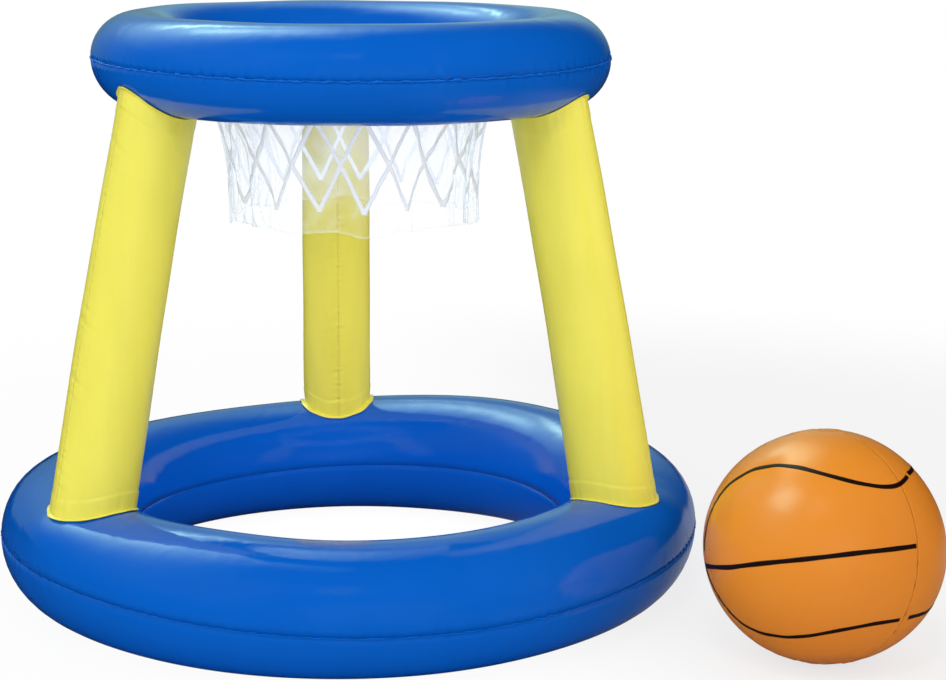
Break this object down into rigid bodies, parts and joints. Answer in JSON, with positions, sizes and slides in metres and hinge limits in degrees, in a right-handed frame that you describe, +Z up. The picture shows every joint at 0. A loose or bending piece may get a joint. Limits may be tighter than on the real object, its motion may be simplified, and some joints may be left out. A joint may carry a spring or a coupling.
{
  "type": "floating basketball hoop",
  "caption": "Inflatable pool basketball hoop: base ring, three leaning legs, rim ring with a clear printed net, hinged push-in valves, and its inflatable ball.",
  "frame": {"origin": "on the floor or water-line plane that the set stands on, under the middle of the bounds of hoop and ball together", "axes": "+Z up through the hoop; -Y towards a viewer who faces the hoop with the ball at the right; +X to that viewer's right, along the longest side of the set"},
  "size_m": [0.8362, 0.7166, 0.5532],
  "materials": {
    "blue_vinyl": "glossy blue vinyl film",
    "yellow_vinyl": "satin yellow vinyl film",
    "clear_film": "clear soft vinyl film",
    "white_ink": "white printing ink on film",
    "orange_vinyl": "glossy orange vinyl film",
    "valve_vinyl": "milky soft vinyl"
  },
  "bodies": {
    "hoop": {"base_ring_upper_panel": "blue_vinyl", "base_ring_lower_panel": "blue_vinyl", "rim_ring_upper_panel": "blue_vinyl", "rim_ring_lower_panel": "blue_vinyl", "leg_rear_panel_1": "yellow_vinyl", "leg_rear_panel_2": "yellow_vinyl", "leg_rear_foot_flange": "yellow_vinyl", "leg_rear_head_flange": "yellow_vinyl", "leg_left_panel_1": "yellow_vinyl", "leg_left_panel_2": "yellow_vinyl", "leg_left_foot_flange": "yellow_vinyl", "leg_left_head_flange": "yellow_vinyl", "leg_right_panel_1": "yellow_vinyl", "leg_right_panel_2": "yellow_vinyl", "leg_right_foot_flange": "yellow_vinyl", "leg_right_head_flange": "yellow_vinyl", "net_weld_band": "clear_film", "net_sleeve": "clear_film", "net_printed_lattice": "white_ink", "base_valve_stem": "valve_vinyl", "rim_valve_stem": "valve_vinyl"},
    "ball": {"ball_gore_1": "orange_vinyl", "ball_gore_2": "orange_vinyl", "ball_gore_3": "orange_vinyl", "ball_top_patch": "orange_vinyl", "ball_bottom_patch": "orange_vinyl", "ball_valve_stem": "valve_vinyl"},
    "base_stopper": {"base_valve_stopper": "valve_vinyl"},
    "base_flap": {"base_valve_flap": "valve_vinyl"},
    "rim_stopper": {"rim_valve_stopper": "valve_vinyl"},
    "rim_flap": {"rim_valve_flap": "valve_vinyl"},
    "ball_stopper": {"ball_valve_stopper": "valve_vinyl"},
    "ball_flap": {"ball_valve_flap": "valve_vinyl"}
  },
  "joints": [
    {"name": "ball_lift", "type": "slide", "parent": "hoop", "child": "ball", "axis": [0, 0, 1], "range_m": [0, 0.6]},
    {"name": "base_stopper_hinge", "type": "hinge", "parent": "hoop", "child": "base_stopper", "pos_m": [0.05755, 0.30854, 0.10665], "axis": [0.8969, -0.4423, 0], "range_deg": [0, 150]},
    {"name": "rim_stopper_hinge", "type": "hinge", "parent": "hoop", "child": "rim_stopper", "pos_m": [-0.01489, 0.26125, 0.52874], "axis": [0.9659, -0.2588, 0], "range_deg": [0, 150]},
    {"name": "ball_stopper_hinge", "type": "hinge", "parent": "ball", "child": "ball_stopper", "pos_m": [0.26798, -0.16667, 0.07037], "axis": [0.8906, 0.446, -0.0885], "range_deg": [0, 150]},
    {"name": "base_flap_hinge", "type": "hinge", "parent": "hoop", "child": "base_flap", "pos_m": [0.05483, 0.30302, 0.09637], "axis": [-0.8969, 0.4423, 0], "range_deg": [0, 40]},
    {"name": "rim_flap_hinge", "type": "hinge", "parent": "hoop", "child": "rim_flap", "pos_m": [-0.0175, 0.25149, 0.5223], "axis": [-0.9659, 0.2588, 0], "range_deg": [0, 40]},
    {"name": "ball_flap_hinge", "type": "hinge", "parent": "ball", "child": "ball_flap", "pos_m": [0.27338, -0.17735, 0.07091], "axis": [-0.8906, -0.446, 0.0885], "range_deg": [0, 40]}
  ]
}
